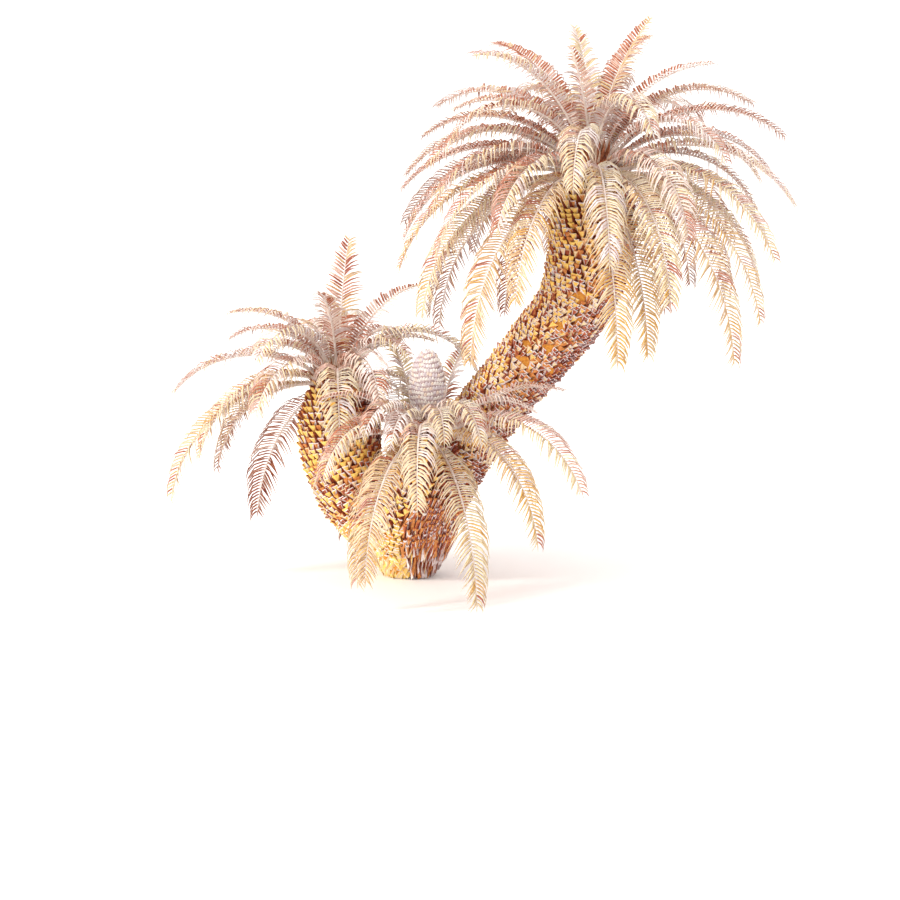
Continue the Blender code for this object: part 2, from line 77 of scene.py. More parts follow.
# Fronds: azimuth (0 is +X, 90 is +Y), lift and droop from root to tip, in degrees, and length.
FRONDS = {
    "main": [
        (98, 80, 45, 0.66), (235, 82, 25, 0.48), (42, 78, 45, 0.72), (132, 66, 62, 0.84),
        (220, 65, 72, 0.86), (116, 58, 100, 0.92), (64, 70, 60, 0.80), (22, 66, 66, 0.71),
        (288, 68, 130, 0.74), (260, 48, 134, 0.70), (200, 60, 125, 0.78), (32, 54, 84, 0.90),
        (54, 45, 82, 1.00), (84, 42, 85, 0.95), (140, 52, 82, 0.92), (172, 46, 84, 0.74),
        (0, 47, 88, 0.86), (194, 40, 90, 0.72), (298, 24, 104, 0.84), (236, 20, 88, 0.80),
        (336, 27, 84, 0.92), (8, 24, 92, 0.74), (178, 26, 76, 0.80), (158, 18, 80, 0.90),
        (116, 28, 86, 0.95), (68, 20, 86, 0.95), (272, 14, 100, 0.84), (324, 12, 80, 0.96),
        (196, 8, 80, 0.95), (98, 8, 88, 0.95), (40, 12, 84, 0.90), (316, 0, 80, 1.10),
        (208, -2, 80, 1.02), (290, 4, 86, 1.00), (246, 4, 86, 0.98), (140, -8, 74, 1.15),
        (304, -4, 82, 1.24), (274, -14, 73, 1.08), (228, -12, 76, 1.12), (118, -12, 72, 1.00),
        (60, -14, 70, 0.95), (88, -18, 68, 1.00), (350, 0, 84, 0.86), (20, -10, 76, 0.84),
        (158, 56, 84, 0.70), (150, 34, 86, 0.92), (186, 16, 86, 0.86), (208, 28, 96, 0.80),
        (14, 36, 86, 0.80), (348, 38, 100, 0.74), (354, 12, 84, 0.80), (326, 50, 112, 0.72),
        (104, 48, 84, 0.84), (74, 60, 84, 0.86), (52, 0, 84, 0.95), (124, 10, 84, 0.95),
        (288, -22, 66, 0.95), (218, 14, 88, 0.90), (170, -10, 78, 0.95),
    ],
    "left": [
        (76, 83, 18, 0.58), (262, 72, 58, 0.52), (232, 60, 112, 0.62), (184, 65, 78, 0.54),
        (160, 55, 90, 0.53), (108, 46, 85, 0.70), (38, 66, 60, 0.57), (64, 44, 72, 0.56),
        (350, 56, 125, 0.70), (292, 42, 112, 0.56), (272, 28, 116, 0.70), (180, 30, 80, 0.70),
        (20, 14, 70, 0.34), (334, 10, 60, 0.30), (214, 16, 95, 0.76), (140, 8, 86, 0.76),
        (164, -4, 80, 0.68), (198, 2, 82, 0.90), (128, -22, 62, 0.88), (60, -6, 80, 0.75),
        (88, -24, 60, 1.03), (206, 50, 78, 0.42), (138, 44, 80, 0.40), (24, 48, 72, 0.44),
        (318, 56, 100, 0.46), (84, 60, 96, 0.60), (172, 12, 62, 0.42), (240, 34, 100, 0.66),
    ],
    "front": [
        (118, 74, 46, 0.54), (62, 72, 45, 0.46), (294, 60, 128, 0.58), (210, 56, 75, 0.48),
        (12, 48, 66, 0.56), (98, 44, 96, 0.44), (345, 30, 76, 0.56), (318, 28, 90, 0.90),
        (266, 30, 114, 0.76), (228, 32, 100, 0.66), (196, 12, 90, 0.50), (304, 16, 98, 0.90),
        (332, 8, 90, 0.54), (346, 0, 84, 0.40), (252, 4, 88, 0.94), (244, -6, 78, 0.84),
        (286, -8, 78, 0.94), (190, 70, 78, 0.42), (240, 60, 116, 0.50), (332, 56, 92, 0.48),
        (253, 58, 132, 0.46), (176, 34, 84, 0.38), (280, 62, 134, 0.48),
    ],
}

# A frond, as in its solid.
STALK_SHARE = 0.14  # the blade starts here
BLADE_END = 0.985
DROOP_POWER = 1.15
RIB_WIDTH = (0.020, 0.012, 0.004)  # at the root, where the blade starts, and at the tip
RIB_HEIGHT = (0.018, 0.010, 0.004)
LEAFLET_LENGTH = 0.150  # the longest, on a frond 1 m long
LEAFLET_ANGLES = (84, 54)  # from the rib, at the first leaflet and at the last
FIRST_LEAFLET = 0.50  # length of the blade's first one, as a share of the longest
FULL_FROM = 0.16  # they have their full length between these shares of the blade
FULL_TO = 0.50
LAST_LEAFLET = 0.34
SHORTEN_POWER = 1.5
SHORTEST = -0.6  # on the stalk they shorten no further than at this many times FULL_FROM
VALLEY = 42  # degrees that both rows rise from the blade's plane
SWAY = 12  # most that a frond turns aside and rolls, in degrees
ROLL = 14

# What the solid leaves out.
LEAFLET_STEP = 0.0138  # between neighbours of one row
ROW_START = 0.6  # both in steps
ROW_OFFSET = 0.25
LEAFLET_HALF_WIDTH = 0.0056
SLIMMEST = 0.08  # its half width is no more than this share of its length
ON_RIB = (0.36, 0.2)  # where it starts, as shares of the rib's width and height
LEAFLET_FORWARD = 0.13  # how far its tip curls along the rib, as a share of its length
LEAFLET_SAG = 0.20  # sags, likewise
LEAFLET_CURL = 0.60  # and curls back under the blade's plane
LEAFLET_BEND_POWER = 2.4  # curl and sag grow with this power of the way along it
DRAWN_IN = 0.12  # share of its reach that the curl takes back
# How far its angle strays, in radians, its valley, in degrees, and its length and sag, as shares.
LEAFLET_STRAY = (0.05, 5, 0.05, 0.3)
END_LEAFLET = 0.8  # the one at the tip, as a share of its neighbours
LEAFLETS_FROM = 0.03  # the lowest ones sit on the stalk
LEAFLET_SPREAD = 0.2  # how much they draw apart towards the tip
LEAFLET_PLACES = (0.0, 0.12, 0.42, 0.74, 1.0)
LEAFLET_WIDTHS = (0.55, 1.0, 0.90, 0.48)
# A leaflet's section as (across, above): shares of its half width and of its ridge's height.
LEAFLET_SECTION = ((-1, 0), (-0.6, 0.5), (0, 1), (0.6, 0.5), (1, 0), (0.55, -0.2), (-0.55, -0.2))
RIDGE = 0.0020  # height of a leaflet's midrib over its edges
GROUND_CLEARANCE = 0.006  # leaflets keep this far off the ground, the stems and the cone
STEM_CLEARANCE = 0.006
CONE_CLEARANCE = 0.004
SHORTENED_BY = 0.7  # each time that one comes nearer, up to five times
RIB_SIDES = 8
RIB_STATIONS = 30
RIB_SUNK = 0.018  # into the head
RIB_FLATNESS = (0.42, 0.62)  # its section above and below, as shares of its height
PIECE_LEAFLETS = 3500  # most leaflets joined into one piece

# Leaf bases on the stems: worn and small on the middle, large and sharp under a head, flat or
# drawn out upwards near the ground. "out" is how far they stand out; "lift", how far their lips
# reach up, and "pitch", that of their rows, are shares of the height.
BASE_VALUES = ("breadth", "height", "out", "lift", "pitch", "stray")
WORN_BASE = dict(zip(BASE_VALUES, (0.028, 0.028, 0.011, 0.30, 0.60, 0.9)))
CROWN_BASE = dict(zip(BASE_VALUES, (0.041, 0.035, 0.016, 0.40, 0.84, 0.5)))
FLAT_BASE = dict(zip(BASE_VALUES, (0.029, 0.038, 0.0030, 0.08, 0.42, 0.8)))
FOOT_BASE = dict(zip(BASE_VALUES, (0.018, 0.074, 0.009, 0.36, 0.44, 0.35)))
CROWN_ZONE = 0.62  # length under a head where they grow to their full size
CROWN_POWER = 0.7
FIRST_ROW = 0.008
ROWS_PAST_TOP = 0.03
ROW_TWIST = 0.03  # radians that each row is turned from the last
# How far they stray, times their own stray, as shares of their height and so on.
STRAY = dict(along=0.14, round=0.12, out=0.40, lift=0.40, breadth=0.18, twist=0.60)
LOPSIDED = 0.12  # by how much their right half strays in breadth
FOOT_ZONE = 0.36  # height up to which they are drawn out on one side
FOOT_ROWS_END = 0.54  # length along a stem by which it has left that zone
FLAT_ZONE = 0.25  # height up to which they lie flat on the other side
SEAM_OVERLAP = 0.010  # leaf bases go on this far into a neighbouring stem
PAINTED_LIGHT_SIDE = (-0.84, -0.43, 0.33)  # painted light: leaf bases turned this way get lighter tints, those turned away painted shade

# The bark between them, a little inside the solid's surface. Its dark rust-brown is its own colour
# and painted shade in the gaps between the leaf bases.
CORE_INSET = 0.012
CORE_SIDES = 72
CORE_STEP = 0.012
CORE_WAVES = 7
CORE_LUMP = 0.0007
PATH_STEPS = 8  # between two rows of a stem's axis
DOME_STEPS = 9

# Scars where leaf bases have come away, as (x, z, reach) on the trunk's face.
SCARS = [
    (0.752, 1.240, 0.034), (0.652, 1.105, 0.033), (0.520, 1.035, 0.024), (0.612, 1.010, 0.030),
    (0.500, 0.950, 0.034), (0.622, 0.915, 0.022), (0.430, 0.840, 0.026), (0.540, 0.865, 0.020),
    (0.745, 1.130, 0.020),
]
SCAR_POWER = 1.2  # between a diamond, 1, and an ellipse, 2
SCAR_EDGE = 0.85  # leaf bases start at this reach of it, raised to that power
SCAR_MARGIN = 1.15  # the patch goes on this far, in reaches, under them
SCAR_WAVE = 0.10
FAR_SCAR = (-0.12, 0.4)  # every other one has a fellow behind, so far along the trunk and round it

CONE_FOOT = np.array((0.090, -0.217, 0.728))
CONE_HEIGHT = 0.315
CONE_RADIUS = 0.084
CONE_SIDES = 48
CONE_CORE = 0.93  # radius of its core, as a share of its own
CONE_TIERS = 15
CONE_LEAF_PITCH = 0.0135
CONE_LEAF_HALF = 0.0092  # its half width
CONE_LEAF_REACH = 0.100  # share of the cone's height

# Bud scales on a dome, between these angles over its rim.
BUDS = 240
BUD_ANGLES = (-12, 80)
FRONT_BUDS_END = 45  # the cone takes up the rest of the front head
BUD_LENGTHS = (0.040, 0.080)
BUD_HALF_WIDTHS = (0.005, 0.008)
BUD_SEAT = 0.97  # share of the dome's radius

# The camera looks down a little.
CAMERA_ELEVATION = 8
CAMERA_DISTANCE = 12.0
CAMERA_AIM = (0.189, 0.078, 0.557)
FRAME_SIDE = 900 * 0.0045  # width of the view at the aim, in metres
SENSOR = 36.0
ALBEDO = 0.80  # surfaces reflect this share of the tint they show in full sun
BASE_ALBEDO = 0.9
SPECULAR = 0.35
MOTTLE_STOPS = (0.36, 0.64)  # the noise between them goes from the dark tint to the light one

# A pale sky, and suns by strength, angular size, colour, tip and turn in degrees.
SKY = (1.0, 0.970, 0.945, 1)
SKY_STRENGTH = 1.5
SUNS = {
    "key": (1.65, 10, (1.0, 0.96, 0.87), 56, -62),
    "fill": (0.80, 40, (1.0, 0.97, 0.95), 80, -32),
}
FLOOR_SIDE = 60
FLOOR_WHITE = (0.93, 0.93, 0.93, 1)


# --- colours and materials


def srgb(tint, albedo):
    """A linear base colour from the 0-255 tint that a surface shows in full sun."""
    return tuple(
        albedo * (c / 12.92 if c <= 0.04045 else ((c + 0.055) / 1.055) ** 2.4)
        for c in (value / 255 for value in tint)
    )


def set_inputs(node, values):
    for socket, value in values.items():
        node.inputs[socket].default_value = value


def mottled(name, dark, light, scale, roughness, bump=0.15, albedo=ALBEDO):
    """A surface whose colour wanders between two tints, with a fine bump."""
    made = bpy.data.materials.new(name)
    made.use_nodes = True
    nodes, links = made.node_tree.nodes, made.node_tree.links
    shader = nodes["Principled BSDF"]
    place, noise, ramp, relief = (
        nodes.new(f"ShaderNode{kind}") for kind in ("TexCoord", "TexNoise", "ValToRGB", "Bump")
    )
    set_inputs(shader, {"Roughness": roughness, "Specular IOR Level": SPECULAR})
    set_inputs(noise, {"Scale": scale, "Detail": 6, "Roughness": 0.6})
    set_inputs(relief, {"Strength": bump, "Distance": 0.002})
    for stop, at, tint in zip(ramp.color_ramp.elements, MOTTLE_STOPS, (dark, light)):
        stop.position = at
        stop.color = (*srgb(tint, albedo), 1)
    links.new(place.outputs["Object"], noise.inputs["Vector"])
    links.new(noise.outputs["Fac"], ramp.inputs["Fac"])
    links.new(ramp.outputs["Color"], shader.inputs["Base Color"])
    links.new(noise.outputs["Fac"], relief.inputs["Height"])
    links.new(relief.outputs["Normal"], shader.inputs["Normal"])
    return made


LEAF_TINTS = [
    ("pale", (214, 206, 204), (238, 232, 230)),
    ("cream", (210, 190, 142), (234, 216, 172)),
    ("tan", (194, 158, 104), (222, 190, 140)),
    ("gold", (202, 152, 66), (230, 188, 102)),
    ("lilac", (200, 184, 182), (226, 212, 210)),
    ("rust", (150, 76, 48), (192, 114, 78)),
    ("brick", (132, 60, 46), (174, 96, 76)),
    ("mauve", (200, 156, 140), (228, 192, 176)),
    ("blush", (230, 204, 190), (246, 228, 214)),
]
LEAF = {name: index for index, (name, _, _) in enumerate(LEAF_TINTS)}


def palette(above, below, shaded, pale="pale pale lilac blush"):
    """Tints to be dealt out to leaflets: above and below, on the shaded and on the pale margin."""
    return [names.split() for names in (above, below, shaded, pale)]


# Tints of upright young fronds, those between and the hanging old ones.
YOUNG = palette("blush lilac cream pale", "rust mauve mauve blush lilac", "rust mauve")
MIDDLE = palette("cream blush cream lilac", "rust lilac mauve mauve", "rust mauve")
OLD = palette("cream tan gold cream", "rust mauve lilac tan", "rust brick mauve")
YOUNG_LIFT = 48  # a frond is young over this lift, in degrees, and old under the next
OLD_LIFT = 12
LIFT_STRAY = 6

# Fronds that are rust, pale or gold all over. The rust ones carry the undersides' own rust on both
# faces, partly as painted shade for fronds in the crown's shade.
RUSTY_AND_PAINTED_SHADE = palette(
    "rust brick mauve tan", "rust rust mauve brick", "brick rust mauve", "blush pale blush"
)
PALE = palette("pale cream cream lilac", "lilac mauve blush", "mauve rust", "pale")
GOLDEN = palette("gold cream tan cream", "rust gold", "rust brick", "pale lilac")
CASTS = (
    (RUSTY_AND_PAINTED_SHADE, {"main": (2, 3, 6, 11, 15, 16, 22, 39), "left": (0, 18), "front": (3,)}),
    (PALE, {"main": (0, 8, 9, 26), "left": (2, 8, 11), "front": (0, 2, 20, 22)}),
    (GOLDEN, {"main": (38,), "left": (20,), "front": (11, 15, 16)}),
)

# Painted shade: tints above for fronds that point away from the sun, and runs of rust leaflets on
# some of the far row of a frond that points sideways and on some of the lowest ones, round the
# heart of a head.
SHADY = "lilac tan blush mauve".split()
SHADY_FROM = 0.85  # cosine of the azimuth, give or take
AZIMUTH_STRAY = 0.2
PAINTED_SHADE_RUN = "rust mauve rust rust".split()
FAR_ROW_PAINTED_SHADE = 1.1  # chance of it on the far row, times the cosine
OLD_FAR_ROW_PAINTED_SHADE = 0.3
HEART_PAINTED_SHADE = 0.65
HEART_SHARE = 0.38
SAME_TINT = 0.62  # chance that a run of leaflets has its frond's main tint above
SAME_HALVES = 0.70  # chance that both halves of its leaflets are alike

# Leaf bases: gold, orange, rust and dark faces, pale torn edges and bare scars. Bright gold is
# painted light; dark and lilac are painted shade; rust is the bases' own colour and painted shade
# too.
BASE_TINTS = [
    ("gold", (242, 182, 76), (252, 218, 130)),
    # the bases' own rust-brown, also painted shade on faces turned from the light and on wedge
    # sides
    ("orange", (194, 112, 54), (228, 158, 90)),
    ("rust", (140, 58, 36), (188, 98, 62)),
    # painted shade on faces turned away from the light and on wedge sides; a few foot faces take it
    # at random
    ("dark", (74, 28, 24), (118, 52, 42)),
    ("edge", (228, 214, 210), (250, 243, 240)),
    ("scar", (194, 120, 34), (224, 158, 64)),
    ("cream", (236, 202, 150), (252, 230, 190)),
    # painted light: a brighter gold, dealt only to faces turned to the light
    ("painted_light_gold", (255, 196, 80), (255, 226, 136)),
    # painted shade: pale edges on the side away from the light
    ("lilac", (204, 184, 182), (234, 218, 216)),
]
GOLD, ORANGE, RUST_AND_PAINTED_SHADE, DARK_AND_PAINTED_SHADE, EDGE, SCAR, CREAM, PAINTED_LIGHT_GOLD, PAINTED_SHADE_LILAC = range(len(BASE_TINTS))

FELT_TINTS = [
    ("white", (232, 222, 214), (250, 246, 242)),
    ("lilac", (206, 192, 198), (232, 222, 226)),
    ("peach", (232, 208, 190), (246, 228, 214)),
    # painted shade: the leaves' lower faces, which show in the recesses above each tier's tips
    ("foot", (184, 158, 158), (216, 196, 196)),
]
BUD_TINTS = [
    ("rust", (140, 74, 44), (190, 122, 84)),
    ("pale", (206, 174, 150), (238, 218, 200)),
]


def mottled_set(kind, tints, *values):
    return [mottled(f"{kind}_{name}", *pair, *values) for name, *pair in tints]


# --- mesh building


def placed(name, data):
    """A new object in the scene."""
    obj = bpy.data.objects.new(name, data)
    bpy.context.scene.collection.objects.link(obj)
    return obj


def unit(v):
    return v / np.linalg.norm(v, axis=-1, keepdims=True)


class Heap:
    """Vertices and faces of many small forms, gathered into one mesh."""

    def __init__(self):
        self.places, self.corners, self.sizes, self.tints, self.count = [], [], [], [], 0

    def add(self, places, faces, tints=None):
        """places (n, 3); faces, (m, k) arrays of indices into places; tints, an array for each."""
        places = np.asarray(places, float).reshape(-1, 3)
        for block, tint in zip(faces, tints or [0] * len(faces)):
            block = np.asarray(block)
            self.corners.append((block + self.count).reshape(-1))
            self.sizes.append(np.full(len(block), block.shape[1]))
            self.tints.append(np.broadcast_to(tint, len(block)))
        self.places.append(places)
        self.count += len(places)

    def build(self, name, materials, smooth=False):
        gathered = (self.places, self.corners, self.sizes, self.tints)
        places, corners, sizes, tints = map(np.concatenate, gathered)
        mesh = bpy.data.meshes.new(name)
        mesh.vertices.add(len(places))
        mesh.vertices.foreach_set("co", places.reshape(-1))
        mesh.loops.add(len(corners))
        mesh.loops.foreach_set("vertex_index", corners)
        mesh.polygons.add(len(sizes))
        mesh.polygons.foreach_set("loop_start", np.concatenate(([0], np.cumsum(sizes)[:-1])))
        mesh.polygons.foreach_set("material_index", tints)
        mesh.polygons.foreach_set("use_smooth", np.full(len(sizes), smooth))
        for made in materials:
            mesh.materials.append(made)
        mesh.update(calc_edges=True)
        mesh.validate()
        return placed(name, mesh)


def lofted(rings, close_start=True):
    """Faces of a loft through rings (m, k, 3), closed at its end, as (places, face blocks)."""
    count, sides = rings.shape[:2]
    ring, side = np.meshgrid(np.arange(count - 1), np.arange(sides), indexing="ij")
    a = (ring * sides + side).reshape(-1)
    b = (ring * sides + (side + 1) % sides).reshape(-1)
    blocks = [np.stack([a, b, b + sides, a + sides], axis=1)]
    if close_start:
        blocks.append(np.arange(sides)[::-1][None, :])
    blocks.append((np.arange(sides) + (count - 1) * sides)[None, :])
    return rings.reshape(-1, 3), blocks


# --- stems


def smooth_path(points, per_span):
    """Catmull-Rom through rows of values, with per_span steps between neighbours."""
    rows = [np.array(p, float) for p in points]
    rows = [2 * rows[0] - rows[1], *rows, 2 * rows[-1] - rows[-2]]
    path = []
    for a, b, c, d in zip(rows, rows[1:], rows[2:], rows[3:]):
        for step in range(per_span):
            t = step / per_span
            path.append(
                0.5 * ((2 * b) + (c - a) * t + (2 * a - 5 * b + 4 * c - d) * t * t
                       + (3 * b - a - 3 * c + d) * t ** 3)
            )
    path.append(rows[-2])
    return np.array(path)


class Stem:
    """A stem's surface: places at a length along it and an angle round it."""

    def __init__(self, name):
        head = HEADS[name]
        centre = np.array(head["centre"])
        shoulder = (*(centre - UP * 0.01), head["radius"])
        path = smooth_path([*STEM_AXES[name], shoulder], PATH_STEPS)
        dome = []
        for turn in np.linspace(0, math.pi / 2, DOME_STEPS + 1)[1:]:
            at = centre + UP * head["height"] * math.sin(turn)
            dome.append((*at, head["radius"] * math.cos(turn) + 0.001))
        self.shoulder = len(path) - 1
        self.path = np.vstack([path, dome])
        steps = np.linalg.norm(np.diff(self.path[:, :3], axis=0), axis=1)
        self.lengths = np.concatenate(([0], np.cumsum(steps)))
        self.top = self.lengths[self.shoulder]
        self.tangents = unit(np.gradient(self.path[:, :3], axis=0))

    def at(self, length):
        """Axis place, radius and tangent at lengths along the stem."""
        length = np.atleast_1d(length)
        values = [np.interp(length, self.lengths, column) for column in self.path.T]
        tangent = unit(
            np.stack([np.interp(length, self.lengths, column) for column in self.tangents.T], -1)
        )
        return np.stack(values[:3], -1), values[3], tangent

    def surface(self, length, angle):
        """Place, outward, round and upward directions on the surface."""
        axis, radius, tangent = self.at(length)
        right = unit(np.cross(np.broadcast_to((0.0, 1.0, 0.0), tangent.shape), tangent))
        back = np.cross(tangent, right)
        angle = np.broadcast_to(angle, radius.shape)[:, None]
        outward = right * np.cos(angle) + back * np.sin(angle)
        around = back * np.cos(angle) - right * np.sin(angle)
        return axis + outward * radius[:, None], outward, around, tangent


def depth_in(stem, places):
    """How far places lie inside a stem: negative outside."""
    axis, radius = stem.path[:, :3], stem.path[:, 3]
    best = np.full(len(places), -1e9)
    for a, b, ra, rb in zip(axis[:-1], axis[1:], radius[:-1], radius[1:]):
        span = b - a
        t = np.clip((places - a) @ span / (span @ span), 0, 1)
        away = np.linalg.norm(places - (a + t[:, None] * span), axis=1)
        best = np.maximum(best, ra + (rb - ra) * t - away)
    return best


def stem_core(stem, heap, chance):
    """The bark that shows between the leaf bases, with a low, lumpy relief."""
    turns = np.arange(CORE_SIDES) / CORE_SIDES * 2 * math.pi
    waves = [
        (chance.randint(2, 9), chance.uniform(12, 60), chance.uniform(0, 6.3))
        for _ in range(CORE_WAVES)
    ]
    rings = []
    for length in np.arange(0, stem.lengths[-1], CORE_STEP):
        place, outward, _, _ = stem.surface(np.full(CORE_SIDES, length), turns)
        lump = sum(np.sin(k * turns + length * f + p) for k, f, p in waves) * CORE_LUMP
        near_top = np.clip((stem.lengths[-1] - length) / 0.03, 0.0, 1.0)
        rings.append(place + outward * (lump - CORE_INSET * near_top)[:, None])
    places, blocks = lofted(np.array(rings))
    places[:, 2] = np.maximum(places[:, 2], 0)
    heap.add(places, blocks)


def mixed(low, high, share):
    """Values of a leaf base between two kinds."""
    return {key: low[key] + (high[key] - low[key]) * share for key in low}


def scar_places(stem):
    """Length along the trunk, angle round it and reach of every scar, near and far."""
    places = []
    for k, (x, z, reach) in enumerate(SCARS):
        gaps = np.hypot(stem.path[:, 0] - x, stem.path[:, 2] - z)
        length = stem.lengths[np.argmin(gaps)]
        axis, radius, tangent = stem.at(length)
        right = unit(np.cross((0.0, 1.0, 0.0), tangent[0]))
        offset = np.array((x, z)) - axis[0, ::2]
        along, across = offset @ tangent[0, ::2], offset @ right[::2]
        turn = math.acos(np.clip(across / radius[0], -0.95, 0.95))
        places.append((length + along, -turn, reach))
        if k % 2:
            places.append((length + along + FAR_SCAR[0], turn + FAR_SCAR[1], reach))
    return places


def in_scars(scars, stem, at, angles):
    """Which leaf bases lie inside a scar's rounded diamond."""
    inside = np.zeros(len(at), bool)
    radius = stem.at(at)[1]
    for length, angle, reach in scars:
        turn = (angles - angle + math.pi) % (2 * math.pi) - math.pi
        across, along = np.abs(turn) * radius / reach, np.abs(at - length) / reach
        inside |= across ** SCAR_POWER + along ** SCAR_POWER < SCAR_EDGE
    return inside


def leaf_bases(stem, others, heap, chance, scars):
    """Staggered rows of leaf bases up a stem, then the rows of drawn-out ones at its foot."""
    length, row = FIRST_ROW, 0
    while length < stem.top + ROWS_PAST_TOP:
        crown = float(np.clip(1 - (stem.top - length) / CROWN_ZONE, 0, 1))
        kind = mixed(WORN_BASE, CROWN_BASE, crown ** CROWN_POWER)
        add_row(stem, others, heap, chance, length, row, kind, crown, scars)
        pitch = kind["height"] * kind["pitch"]
        if stem.at(length)[0][0, 2] < FLAT_ZONE + stem.at(length)[1][0]:
            pitch = min(pitch, FLAT_BASE["height"] * FLAT_BASE["pitch"])
        length += pitch
        row += 1
    pitch = FOOT_BASE["height"] * FOOT_BASE["pitch"]
    for row, length in enumerate(np.arange(0.006, FOOT_ROWS_END, pitch)):
        add_row(stem, others, heap, chance, length, row, FOOT_BASE, 0.0, scars)


def add_row(stem, others, heap, chance, length, row, kind, crown, scars):
    """One row, without the bases that lie in another stem, a scar or the other zone."""
    radius = stem.at(length)[1][0]
    count = max(8, round(2 * math.pi * radius / kind["breadth"]))
    angles = (np.arange(count) + 0.5 * (row % 2)) / count * 2 * math.pi + ROW_TWIST * row
    jitter = np.array([[chance.gauss(0, 1) for _ in range(8)] for _ in range(count)])
    at = length + jitter[:, 0] * kind["height"] * STRAY["along"] * kind["stray"]
    angles = angles + jitter[:, 1] * STRAY["round"] * kind["stray"] * kind["breadth"] / radius
    place, outward, around, upward = stem.surface(at, angles)
    keep = place[:, 2] > 0.003
    for other in others:
        keep &= depth_in(other, place) < SEAM_OVERLAP
    keep &= ~in_scars(scars, stem, at, angles)
    edge = FOOT_ZONE + 0.03 * np.sin(angles * 5)
    in_foot = (place[:, 2] < edge) & (np.cos(angles) > 0.06 * np.sin(place[:, 2] * 40))
    drawn_out = kind is FOOT_BASE
    keep &= in_foot if drawn_out else ~in_foot
    low = (place[:, 2] < FLAT_ZONE + 0.02 * np.sin(angles * 3)) & (not drawn_out)
    for chosen, its_kind in ((keep & low, FLAT_BASE), (keep & ~low, kind)):
        if chosen.any():
            rows = [v[chosen] for v in (place, outward, around, upward, jitter)]
            add_bases(heap, rows, its_kind, crown)


# A leaf base's corners as (across, up, out): half breadths, heights and times it stands out.
BASE_CORNERS = [
    (0.00, -0.62, -1.10), (1.06, 0.02, -1.10),  # 0 foot, 1 right, sunk in the bark
    (0.00, 0.66, -1.10), (-1.06, 0.02, -1.10),  # 2 top, 3 left, likewise
    (-0.84, 0.20, 0.86), (0.00, 0.12, 1.12), (0.84, 0.20, 0.86),  # lip: 4 left, 5 middle, 6 right
    (-0.76, 0.32, 0.78), (0.00, 0.26, 1.00), (0.76, 0.32, 0.78),  # rim: 7, 8, 9, likewise
    (0.00, -0.46, -0.05), (-0.64, 0.13, 0.84), (0.64, 0.13, 0.84),  # face: 10 foot, 11, 12 sides
]
LIFTED = range(4, 13)
INNER_FOOT, INNER_LIFT = 10, 0.25  # this corner is lifted less
BASE_FACES = {
    "face": [(10, 12, 5), (10, 5, 11)],
    "edge": [(0, 6, 12, 10), (0, 10, 11, 4)],
    "lip": [(12, 6, 5), (11, 5, 4)],
    "rim": [(4, 5, 8, 7), (5, 6, 9, 8)],
    "torn": [(7, 8, 2, 3), (8, 9, 1, 2)],
    "right": [(0, 1, 6), (1, 9, 6)],
    "left": [(0, 4, 3), (3, 4, 7)],
    "seat": [(0, 3, 2, 1)],
}


def by_light(painted_light, levels, tints):
    """Painted light and shade: tints from the most lit to the most shaded, with a level of light
    between each two.
    """
    return np.select([painted_light > level for level in levels], tints[:-1], tints[-1])


